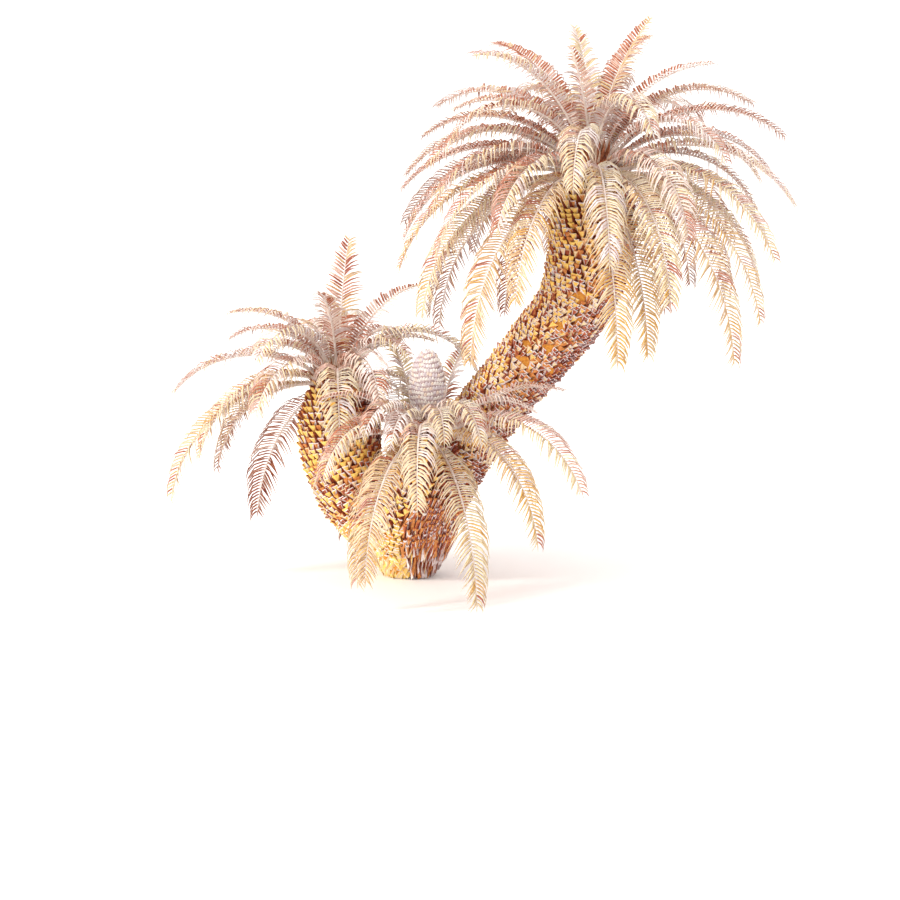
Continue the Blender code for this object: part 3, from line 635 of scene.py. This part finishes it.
def base_tints(outward, jitter, kind, crown):
    """Tint of each sort of face, with painted light: gold where a face turns to the light, and
    painted shade of rust and dark where it turns away.
    """
    # painted light: how far each base turns to the lit side, give or take
    painted_light = outward @ unit(np.array(PAINTED_LIGHT_SIDE)) + 0.20 * jitter[:, 5]
    pale = by_light(jitter[:, 1], (-0.6, -1.1), (EDGE, CREAM, ORANGE))
    # painted shade: pale edges away from the light turn lilac
    pale = np.where((painted_light < -0.1) & (pale != ORANGE), PAINTED_SHADE_LILAC, pale)
    if kind is FOOT_BASE:
        # painted light and shade on the drawn-out bases' faces
        face = by_light(painted_light, (0.55, 0.05), (GOLD, ORANGE, RUST_AND_PAINTED_SHADE))
        face = np.where(jitter[:, 3] > 1.1, ORANGE, np.where(jitter[:, 3] < -0.8, DARK_AND_PAINTED_SHADE, face))
        rim = np.where(jitter[:, 4] > 0.5, pale, ORANGE)
        # painted shade on the drawn-out bases' sides: rust on the left, dark on the right
        return tint_table(face, pale, rim, RUST_AND_PAINTED_SHADE, RUST_AND_PAINTED_SHADE, DARK_AND_PAINTED_SHADE)
    if kind is FLAT_BASE:
        # painted light and shade on the flat bases' faces
        face = by_light(painted_light, (0.55, -0.10, -0.45), (PAINTED_LIGHT_GOLD, GOLD, ORANGE, RUST_AND_PAINTED_SHADE))
        face = np.where(jitter[:, 3] > 1.2, CREAM, np.where(jitter[:, 3] < -0.8, SCAR, face))
        return tint_table(face, CREAM, EDGE, face, CREAM, GOLD)
    crowned = crown + 0.16 * jitter[:, 4] > 0.34
    # painted light and shade: faces step from bright gold to dark as they turn from the light,
    # under a head and on the worn bases below
    gold = by_light(painted_light, (-0.06, -0.30, -0.50), (PAINTED_LIGHT_GOLD, ORANGE, RUST_AND_PAINTED_SHADE, DARK_AND_PAINTED_SHADE))
    gold = np.where(jitter[:, 7] < -0.9, ORANGE, np.where(jitter[:, 7] > 1.5, CREAM, gold))
    worn = by_light(painted_light, (0.45, 0.0, -0.35), (GOLD, ORANGE, RUST_AND_PAINTED_SHADE, DARK_AND_PAINTED_SHADE))
    worn = np.where(jitter[:, 7] > 1.0, CREAM, np.where(jitter[:, 7] < -0.6, RUST_AND_PAINTED_SHADE, worn))
    face = np.where(crowned, gold, worn)
    torn = np.where(crowned, RUST_AND_PAINTED_SHADE, np.where(jitter[:, 0] > 0.1, pale, RUST_AND_PAINTED_SHADE))
    edge = np.where(crowned & (jitter[:, 1] > 0.3), face, pale)
    # painted shade on the wedges' sides: rust and dark, a step lighter towards the light
    left = np.where(crowned | (painted_light < -0.1), RUST_AND_PAINTED_SHADE, ORANGE)
    right = np.where(painted_light < 0.5, DARK_AND_PAINTED_SHADE, RUST_AND_PAINTED_SHADE)
    return tint_table(face, edge, edge, torn, left, right)


def tint_table(face, edge, rim, torn, left, right):
    """A tint, or one for each leaf base, for each sort of face."""
    return dict(
        face=face, edge=edge, lip=face, rim=rim, torn=torn, right=right, left=left, seat=right
    )


def add_bases(heap, rows, kind, crown):
    """Wedges that lean out and up, coloured face by face."""
    place, outward, around, upward, jitter = rows
    count = len(place)
    stray = kind["stray"]
    out = kind["out"] * np.clip(1 + STRAY["out"] * stray * jitter[:, 2], 0.3, 2)
    lift = kind["height"] * kind["lift"] * (1 + STRAY["lift"] * stray * jitter[:, 3])
    half = kind["breadth"] * 0.5 * (1 + STRAY["breadth"] * stray * jitter[:, 4])
    twist = STRAY["twist"] * stray * jitter[:, 6]
    corners = []
    for k, (x, y, z) in enumerate(BASE_CORNERS):
        raised = lift * (INNER_LIFT if k == INNER_FOOT else k in LIFTED)
        skew = twist * (y * kind["height"]) * (k in LIFTED)
        side = x * half * (1 + LOPSIDED * jitter[:, 7] * (x > 0)) + skew
        corners.append(
            place
            + around * side[:, None]
            + upward * (y * kind["height"] + raised)[:, None]
            + outward * np.minimum(z * out, -CORE_INSET if z < -1 else np.inf)[:, None]
        )
    corners = np.stack(corners, 1)
    corners[..., 2] = np.maximum(corners[..., 2], 0)
    tint = base_tints(outward, jitter, kind, crown)
    start = np.arange(count)[:, None] * len(BASE_CORNERS)
    blocks, tints = [], []
    for name, faces in BASE_FACES.items():
        for corner in faces:
            blocks.append(start + np.array(corner)[None, :])
            tints.append(tint[name])
    heap.add(corners.reshape(-1, 3), blocks, tints)


SCAR_SIDES = 24
SCAR_RINGS = ((1.00, -0.010), (0.97, 0.0015), (0.88, 0.0015), (0.82, -0.0005), (0.40, 0.0020))


def add_scars(stem, scars, heap, chance):
    """Smooth patches, rounded diamonds a little askew, lined at their rims."""
    turns = np.arange(SCAR_SIDES) / SCAR_SIDES * 2 * math.pi
    diamond = np.abs(np.cos(turns)) ** SCAR_POWER + np.abs(np.sin(turns)) ** SCAR_POWER
    for length, angle, reach in scars:
        radius = stem.at(length)[1][0]
        size = reach * SCAR_MARGIN * diamond ** (-1 / SCAR_POWER)
        for waves in (1, 2, 3):
            size = size * (1 + SCAR_WAVE * np.sin(waves * turns + chance.uniform(0, 6.3)))
        rings = []
        for share, out in SCAR_RINGS:
            across, along = size * share * np.cos(turns), size * share * np.sin(turns)
            place, outward, _, _ = stem.surface(length + along, angle + across / radius)
            rings.append(place + outward * out)
        places, blocks = lofted(np.array(rings))
        tints = np.repeat([RUST_AND_PAINTED_SHADE, ORANGE, SCAR, SCAR], SCAR_SIDES)
        heap.add(places, blocks, [tints, RUST_AND_PAINTED_SHADE, SCAR])


# --- fronds


class Frond:
    """The source's frond: azimuth, lift and droop, with its own sway and roll."""

    def __init__(self, head_name, index):
        head = HEADS[head_name]
        azimuth, lift, droop, self.length = FRONDS[head_name][index]
        chance = random.Random(f"{head_name} {index}")
        self.growth = head["growth"]
        self.cast = next((cast for cast, fronds in CASTS if index in fronds[head_name]), None)
        self.sway = math.radians(chance.uniform(-SWAY, SWAY))
        self.roll = math.radians(chance.uniform(-ROLL, ROLL))
        self.azimuth, self.lift, self.droop = map(math.radians, (azimuth, lift, droop))
        out = np.array((math.cos(self.azimuth), math.sin(self.azimuth), 0))
        turn = math.radians(min(lift, head["collar"]))
        self.root = (
            np.array(head["centre"])
            + out * head["radius"] * math.cos(turn)
            + UP * head["height"] * math.sin(turn)
        )
        fine = np.linspace(0, 1, 241)
        middle = (fine[1:] + fine[:-1]) / 2
        steps = self.direction(middle) * np.diff(fine)[:, None] * self.length
        self.fine = fine
        self.line = self.root + np.concatenate((np.zeros((1, 3)), np.cumsum(steps, 0)))

    def turn(self, share):
        return self.azimuth + self.sway * share ** 2

    def direction(self, share):
        pitch = self.lift - self.droop * share ** DROOP_POWER
        turn = self.turn(share)
        return np.stack(
            [np.cos(turn) * np.cos(pitch), np.sin(turn) * np.cos(pitch), np.sin(pitch)], -1
        )

    def frame(self, share):
        """Tangent, side and upper normal of the blade."""
        tangent = self.direction(share)
        turn = self.turn(share)
        side = np.stack([-np.sin(turn), np.cos(turn), np.zeros_like(turn)], -1)
        normal = unit(np.cross(tangent, side))
        roll = (self.roll * share)[:, None]
        return (
            tangent,
            side * np.cos(roll) + normal * np.sin(roll),
            normal * np.cos(roll) - side * np.sin(roll),
        )

    def at(self, share):
        return np.stack([np.interp(share, self.fine, column) for column in self.line.T], -1)


def taper(values, share):
    return np.interp(share, (0, STALK_SHARE, 1), values)


def leaflet_share(t):
    """Length of a leaflet, a share of the longest, t along the blade: under 0 on the stalk."""
    rise = FIRST_LEAFLET + (1 - FIRST_LEAFLET) * np.clip(t / FULL_FROM, SHORTEST, 1)
    late = np.clip((t - FULL_TO) / (1 - FULL_TO), 0, 1)
    return rise * (1 - (1 - LAST_LEAFLET) * late ** SHORTEN_POWER)


def add_rib(frond, heap):
    """A rib with a flat top and a rounded keel, from inside the head to the tip."""
    share = np.linspace(0, BLADE_END, RIB_STATIONS)
    tangent, side, normal = frond.frame(share)
    place = frond.at(share)
    place[0] -= tangent[0] * RIB_SUNK
    width = taper(RIB_WIDTH, share)[:, None]
    height = taper(RIB_HEIGHT, share)[:, None]
    rings = []
    for k in range(RIB_SIDES):
        turn = 2 * math.pi * (k + 0.5) / RIB_SIDES
        across, rise = math.cos(turn), math.sin(turn)
        flat = RIB_FLATNESS[0] if rise > 0 else RIB_FLATNESS[1]
        rings.append(place + side * across * width * 0.5 + normal * rise * height * flat)
    heap.add(*lofted(np.stack(rings, 1), close_start=False))


def leaflets_of(frond, chance):
    """Start, direction, length and bend of every leaflet of a frond."""
    count = max(8, int(frond.length * (BLADE_END - LEAFLETS_FROM) / LEAFLET_STEP))
    rows = []
    for row in (-1, 1):
        step = (np.arange(count) + ROW_OFFSET * row + ROW_START) / count
        step = step * (1 - LEAFLET_SPREAD) + step ** 2 * LEAFLET_SPREAD
        share = np.clip(LEAFLETS_FROM + (BLADE_END - LEAFLETS_FROM) * step, 0, 1)
        t = (share - STALK_SHARE) / (1 - STALK_SHARE)
        stray = np.array([[chance.gauss(0, 1) for _ in LEAFLET_STRAY] for _ in t]) * LEAFLET_STRAY
        angle = np.radians(np.interp(t, (0, 1), LEAFLET_ANGLES)) + stray[:, 0]
        valley = np.radians(VALLEY + stray[:, 1])[:, None]
        tangent, side, normal = frond.frame(share)
        across = side * row * np.cos(valley) + normal * np.sin(valley)
        along = tangent * np.cos(angle)[:, None] + across * np.sin(angle)[:, None]
        longest = LEAFLET_LENGTH * frond.growth * frond.length ** 0.5
        reach = longest * leaflet_share(t) * (1 + stray[:, 2])
        start = frond.at(share) + side * row * (taper(RIB_WIDTH, share) * ON_RIB[0])[:, None]
        start = start + normal * (taper(RIB_HEIGHT, share) * ON_RIB[1])[:, None]
        bend = tangent * LEAFLET_FORWARD - UP * (LEAFLET_SAG * (1 + stray[:, 3]))[:, None]
        bend = bend - normal * LEAFLET_CURL
        rows.append((start, along, bend, normal, reach))
    share = np.array([BLADE_END])
    tangent, side, normal = frond.frame(share)
    end = LEAFLET_LENGTH * LAST_LEAFLET * frond.length ** 0.5 * np.array([END_LEAFLET])
    rows.append((frond.at(share) - tangent * 0.004, tangent, -0.3 * UP[None, :], normal, end))
    return [np.concatenate(column) for column in zip(*rows)]


def curve_places(start, along, bend, reach, q):
    """Places at q (0 to 1) along leaflets that curl over and sag."""
    ahead = along * q * (1 - DRAWN_IN * q * q)
    return start + reach[:, None] * (ahead + bend * q ** LEAFLET_BEND_POWER)


def shortened(stems, start, along, bend, reach):
    """Lengths that keep leaflets out of the stems and the cone, and which leaflets are left."""
    reach = reach.copy()
    for _ in range(5):
        bad = np.zeros(len(reach), bool)
        for q in (0.5, 1.0):
            places = curve_places(start, along, bend, reach, q)
            for stem in stems:
                bad |= depth_in(stem, places) > -STEM_CLEARANCE
            bad |= cone_depth(places) > -CONE_CLEARANCE
            bad |= places[:, 2] < GROUND_CLEARANCE
        reach[bad] *= SHORTENED_BY
    return reach, ~bad


def add_leaflets(heap, parts, tints):
    """Closed blades. tints: pale margins, left halves, right halves, undersides, shaded margins."""
    start, along, bend, normal, reach = parts
    count, sides = len(start), len(LEAFLET_SECTION)
    rings = []
    for q, wide in zip(LEAFLET_PLACES[:-1], LEAFLET_WIDTHS):
        place = curve_places(start, along, bend, reach, q)
        ahead = unit(curve_places(start, along, bend, reach, q + 0.05) - place)
        across = unit(np.cross(normal, ahead))
        above = np.cross(ahead, across)
        half = np.minimum(LEAFLET_HALF_WIDTH, reach * SLIMMEST)[:, None] * wide
        ring = [place + across * half * x + above * RIDGE * wide * y for x, y in LEAFLET_SECTION]
        rings.append(np.stack(ring, 1))
    rings = np.stack(rings, 1)
    tips = curve_places(start, along, bend, reach, 1.0)[:, None, :]
    places = np.concatenate([rings.reshape(count, -1, 3), tips], 1)
    each = places.shape[1]
    base = (np.arange(count) * each)[:, None]
    levels = len(LEAFLET_WIDTHS)
    margin, left, right, under, shade = tints
    blocks, dealt = [base + np.arange(sides)[None, :]], [under]
    round_it = (margin, left, right, shade, shade, under, margin)
    for level in range(levels):
        for side in range(sides):
            a = base + level * sides + side
            b = base + level * sides + (side + 1) % sides
            ahead = (a + sides, b + sides) if level < levels - 1 else (base + each - 1,)
            blocks.append(np.concatenate([b, a, *ahead], 1))
            dealt.append(round_it[side])
    heap.add(places, blocks, dealt)


def deal_tints(frond, chance, count):
    """Tints of a frond's faces, as add_leaflets takes them, leaflet by leaflet in short runs."""
    lift = math.degrees(frond.lift) + chance.gauss(0, LIFT_STRAY)
    age = YOUNG if lift > YOUNG_LIFT else MIDDLE if lift > OLD_LIFT else OLD
    sideways = math.cos(frond.azimuth)
    shady = sideways + chance.gauss(0, AZIMUTH_STRAY) >= SHADY_FROM
    dealt = frond.cast or age
    above, below, shaded, pale = dealt
    if shady and not frond.cast:
        above = SHADY
    hanging = dealt in (OLD, PALE, GOLDEN)
    main = chance.choice(above)
    half = count // 2
    rows = []
    while len(rows) < count:
        margin = chance.choice(pale)
        upper = main if chance.random() < SAME_TINT else chance.choice(above)
        other = upper if chance.random() < SAME_HALVES else chance.choice(above)
        far = (len(rows) < half) == (sideways < 0)
        painted_shade_chance = (OLD_FAR_ROW_PAINTED_SHADE if hanging else FAR_ROW_PAINTED_SHADE) * abs(sideways) * far
        if not hanging and len(rows) % half < HEART_SHARE * half:
            painted_shade_chance = max(painted_shade_chance, HEART_PAINTED_SHADE)
        # painted shade: a run of rust leaflets
        if chance.random() < painted_shade_chance:
            upper, other = chance.choice(PAINTED_SHADE_RUN), chance.choice(PAINTED_SHADE_RUN)
        names = (margin, upper, other, chance.choice(below), chance.choice(shaded))
        rows += [[LEAF[name] for name in names]] * chance.randint(1, 3)
    return np.array(rows[:count]).T


def grow_heads(stems):
    leaf = mottled_set("leaf", LEAF_TINTS, 70, 0.55)
    rib = mottled("rib", (222, 200, 186), (250, 240, 234), 40, 0.5)
    for head, rows in FRONDS.items():
        ribs, grown = Heap(), []
        for index in range(len(rows)):
            frond = Frond(head, index)
            chance = random.Random(f"leaflets {head} {index}")
            add_rib(frond, ribs)
            parts = leaflets_of(frond, chance)
            reach, kept = shortened(stems.values(), *parts[:3], parts[4])
            parts[4] = reach
            tints = deal_tints(frond, chance, len(kept))
            grown.append(([v[kept] for v in parts], [tint[kept] for tint in tints]))
        nodes = sorted(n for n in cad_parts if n.startswith(f"{head}_frond"))
        stalks = ribs.build(f"{head}_ribs", [rib], smooth=True)
        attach(stalks, "root")
        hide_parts(*nodes)
        add_crowns(head, grown, leaf, nodes)


def add_crowns(head, grown, materials, nodes):
    """Joins the fronds' leaflets into as few pieces as their number allows."""
    heap, held, piece = Heap(), 0, 1
    for k, (parts, tints) in enumerate(grown):
        add_leaflets(heap, parts, tints)
        held += len(parts[0])
        last = k == len(grown) - 1
        if last or held + len(grown[k + 1][0][0]) > PIECE_LEAFLETS:
            crown = heap.build(f"{head}_leaflets_{piece}", materials)
            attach(crown, "root")
            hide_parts(*nodes)
            heap, held, piece = Heap(), 0, piece + 1


# --- seed cone


def cone_radius(share):
    """Radius of the cone's egg at a share of its height."""
    z = 2 * share - 1
    return CONE_RADIUS * (1.06 - 0.22 * share) * np.sqrt(np.clip(1 - z * z, 0, 1))


def cone_depth(places):
    """How far places lie inside the cone, roughly: negative outside."""
    share = (places[:, 2] - CONE_FOOT[2]) / CONE_HEIGHT
    away = np.linalg.norm(places[:, :2] - CONE_FOOT[:2], axis=1)
    inside = cone_radius(np.clip(share, 0, 1)) - away
    return np.where((share > 0) & (share < 1), inside, -1.0)


# A cone leaf's corners as (across, along, out): half widths, shares of its length, metres.
CONE_LEAF = [
    (-0.9, 0.0, -0.006), (0.0, 0.0, -0.004), (0.9, 0.0, -0.006),
    (-1.0, 0.55, 0.000), (0.0, 0.55, 0.004), (1.0, 0.55, 0.000),
    (-0.8, 0.84, 0.003), (0.0, 0.86, 0.0085), (0.8, 0.84, 0.003),
    (0.0, 1.0, 0.0045), (0.0, 0.5, -0.010),
]
CONE_LEAF_FOOT = [(0, 1, 4, 3), (1, 2, 5, 4)]
CONE_LEAF_TOP = [
    (3, 4, 7, 6), (4, 5, 8, 7), (6, 7, 9), (7, 8, 9),
    (1, 0, 10), (2, 1, 10), (0, 3, 10), (3, 6, 10), (6, 9, 10), (9, 8, 10), (8, 5, 10), (5, 2, 10),
]


def cone_leaves(share, angles, half):
    """Corners of one tier's leaves, (count, corners, 3)."""
    out = np.stack([np.cos(angles), np.sin(angles), np.zeros_like(angles)], -1)
    around = np.stack([-np.sin(angles), np.cos(angles), np.zeros_like(angles)], -1)
    corners = []
    for x, y, z in CONE_LEAF:
        at = np.clip(share + y * CONE_LEAF_REACH, 0, 1)
        radius = np.maximum(cone_radius(at) * 0.95, 0.002) + z
        rise = at * CONE_HEIGHT + 0.3 * z
        beside = around * (x * half)[:, None] + UP * rise[:, None]
        corners.append(CONE_FOOT + out * radius[:, None] + beside)
    return np.stack(corners, 1)


def grow_cone():
    """Wavy tiers of small felted leaves over an egg-shaped core."""
    core, felt = Heap(), Heap()
    turns = np.arange(CONE_SIDES) / CONE_SIDES * 2 * math.pi
    rings = []
    for share in np.linspace(0.02, 0.995, 26):
        radius = cone_radius(share) * CONE_CORE
        ring = np.stack([np.cos(turns) * radius, np.sin(turns) * radius], -1)
        rings.append(np.column_stack([ring, np.full(CONE_SIDES, share * CONE_HEIGHT)]) + CONE_FOOT)
    core.add(*lofted(np.array(rings)))
    chance = random.Random("cone")
    for tier in range(CONE_TIERS):
        share = 0.02 + 0.95 * tier / CONE_TIERS
        count = max(6, int(2 * math.pi * cone_radius(share) / CONE_LEAF_PITCH))
        angles = (np.arange(count) + 0.5 * (tier % 2)) / count * 2 * math.pi
        jitter = np.array([[chance.gauss(0, 1) for _ in range(3)] for _ in range(count)])
        here = share + 0.012 * np.sin(angles * 4 + tier * 0.9) + 0.004 * jitter[:, 0]
        slim = math.sqrt(cone_radius(share) / CONE_RADIUS)
        half = CONE_LEAF_HALF * (1 + 0.10 * jitter[:, 1]) * slim
        places = cone_leaves(np.clip(here, 0.01, 0.985), angles, half)
        tint = np.array([chance.choice((0, 0, 0, 1, 1, 2)) for _ in range(count)])
        base = (np.arange(count) * places.shape[1])[:, None]
        blocks = [base + np.array(face)[None, :] for face in CONE_LEAF_FOOT + CONE_LEAF_TOP]
        # the lower faces take the foot tint as painted shade in the recesses between tiers
        felt.add(places, blocks, [3, 3] + [tint] * len(CONE_LEAF_TOP))
    shade = mottled("felt_shade", (150, 118, 108), (196, 170, 160), 70, 0.95)
    inner = core.build("cone_core", [shade], smooth=True)
    outer = felt.build("cone_scales", mottled_set("felt", FELT_TINTS, 120, 0.95))
    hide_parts("seed_cone")
    for piece in (inner, outer):
        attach(piece, "root")


# --- trunk, buds and setting


def grow_stems():
    stems = {name: Stem(name) for name in STEM_AXES}
    # dark rust-brown: the bark's own colour and painted shade between the leaf bases
    bark = mottled("bark", (88, 36, 22), (168, 90, 50), 30, 0.85, bump=0.6)
    materials = mottled_set("base", BASE_TINTS, 90, 0.75, 0.4, BASE_ALBEDO)
    for name, stem in stems.items():
        chance = random.Random(f"stem {name}")
        core, bases = Heap(), Heap()
        stem_core(stem, core, chance)
        others = [s for n, s in stems.items() if n != name]
        scars = scar_places(stem) if name == "main" else []
        leaf_bases(stem, others, bases, chance, scars)
        add_scars(stem, scars, bases, chance)
        trunk = core.build(f"{name}_bark", [bark], smooth=True)
        cladding = bases.build(f"{name}_leaf_bases", materials)
        for piece in (trunk, cladding):
            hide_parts(STEM_NODES[name])
            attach(piece, "root")
    return stems


# Faces of a bud scale's lower and upper half, by its foot's, middle's and tip's corners.
BUD_FACES = (
    [(0, 2, 5, 3), (2, 1, 4, 5), (1, 0, 3, 4)],
    [(3, 5, 6), (5, 4, 6), (4, 3, 6), (0, 1, 2)],
)
GOLDEN_ANGLE = math.pi * (3 - math.sqrt(5))


def grow_buds():
    """Short pointed bud scales between the stalks on every dome."""
    materials = mottled_set("bud", BUD_TINTS, 60, 0.8)
    for name, head in HEADS.items():
        chance = random.Random(f"buds {name}")
        heap = Heap()
        low, high = BUD_ANGLES
        for k in range(BUDS):
            turn = k * GOLDEN_ANGLE
            rise = math.radians(low + (high - low) * (k / BUDS))
            if name == "front" and rise > math.radians(FRONT_BUDS_END):
                break
            out = np.array((math.cos(turn), math.sin(turn), 0.0))
            around = np.array((-math.sin(turn), math.cos(turn), 0.0))
            foot = np.array(head["centre"]) + out * head["radius"] * math.cos(rise) * BUD_SEAT
            foot = foot + UP * head["height"] * math.sin(rise) * BUD_SEAT
            aim = unit(out * math.cos(rise) + UP * (0.7 + math.sin(rise)))
            reach = chance.uniform(*BUD_LENGTHS)
            half = chance.uniform(*BUD_HALF_WIDTHS)
            middle = foot + aim * reach * 0.5 + out * 0.004
            places = [
                foot - around * half, foot + around * half, foot + out * 0.006,
                middle - around * half * 0.7, middle + around * half * 0.7, middle + out * 0.005,
                foot + aim * reach,
            ]
            tint = 0 if chance.random() < 0.5 else 1
            heap.add(places, [np.array(f) for f in BUD_FACES], [tint, tint])
        buds = heap.build(f"{name}_bud_scales", materials)
        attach(buds, "root")


def set_stage():
    bpy.ops.mesh.primitive_plane_add(size=FLOOR_SIDE, location=(0, 0, 0))
    floor = bpy.context.object
    floor.name = "floor"
    pale = bpy.data.materials.new("floor_white")
    pale.use_nodes = True
    shader = pale.node_tree.nodes["Principled BSDF"]
    set_inputs(shader, {"Base Color": FLOOR_WHITE, "Roughness": 0.9})
    floor.data.materials.append(pale)

    world = bpy.context.scene.world or bpy.data.worlds.new("World")
    bpy.context.scene.world = world
    world.use_nodes = True
    set_inputs(world.node_tree.nodes["Background"], {"Color": SKY, "Strength": SKY_STRENGTH})
    for name, values in SUNS.items():
        add_sun(name, *values)


def add_sun(name, energy, angle, colour, tip, turn):
    """A sun, tipped from straight down and then turned about the vertical."""
    light = bpy.data.lights.new(name, "SUN")
    light.energy = energy
    light.angle = math.radians(angle)
    light.color = colour
    placed(name, light).rotation_euler = (math.radians(tip), 0, math.radians(turn))


def set_camera():
    camera = bpy.data.cameras.new("camera")
    camera.sensor_width = SENSOR
    camera.lens = SENSOR * CAMERA_DISTANCE / FRAME_SIDE
    camera.clip_end = 200
    eye = placed("camera", camera)
    tilt = math.radians(CAMERA_ELEVATION)
    back = np.array((0, -math.cos(tilt), math.sin(tilt)))
    eye.location = np.array(CAMERA_AIM) + back * CAMERA_DISTANCE
    eye.rotation_euler = (math.pi / 2 - tilt, 0, 0)
    bpy.context.scene.camera = eye
    bpy.context.scene.view_settings.view_transform = "Standard"


set_camera()
set_stage()
all_stems = grow_stems()
grow_heads(all_stems)
grow_cone()
grow_buds()
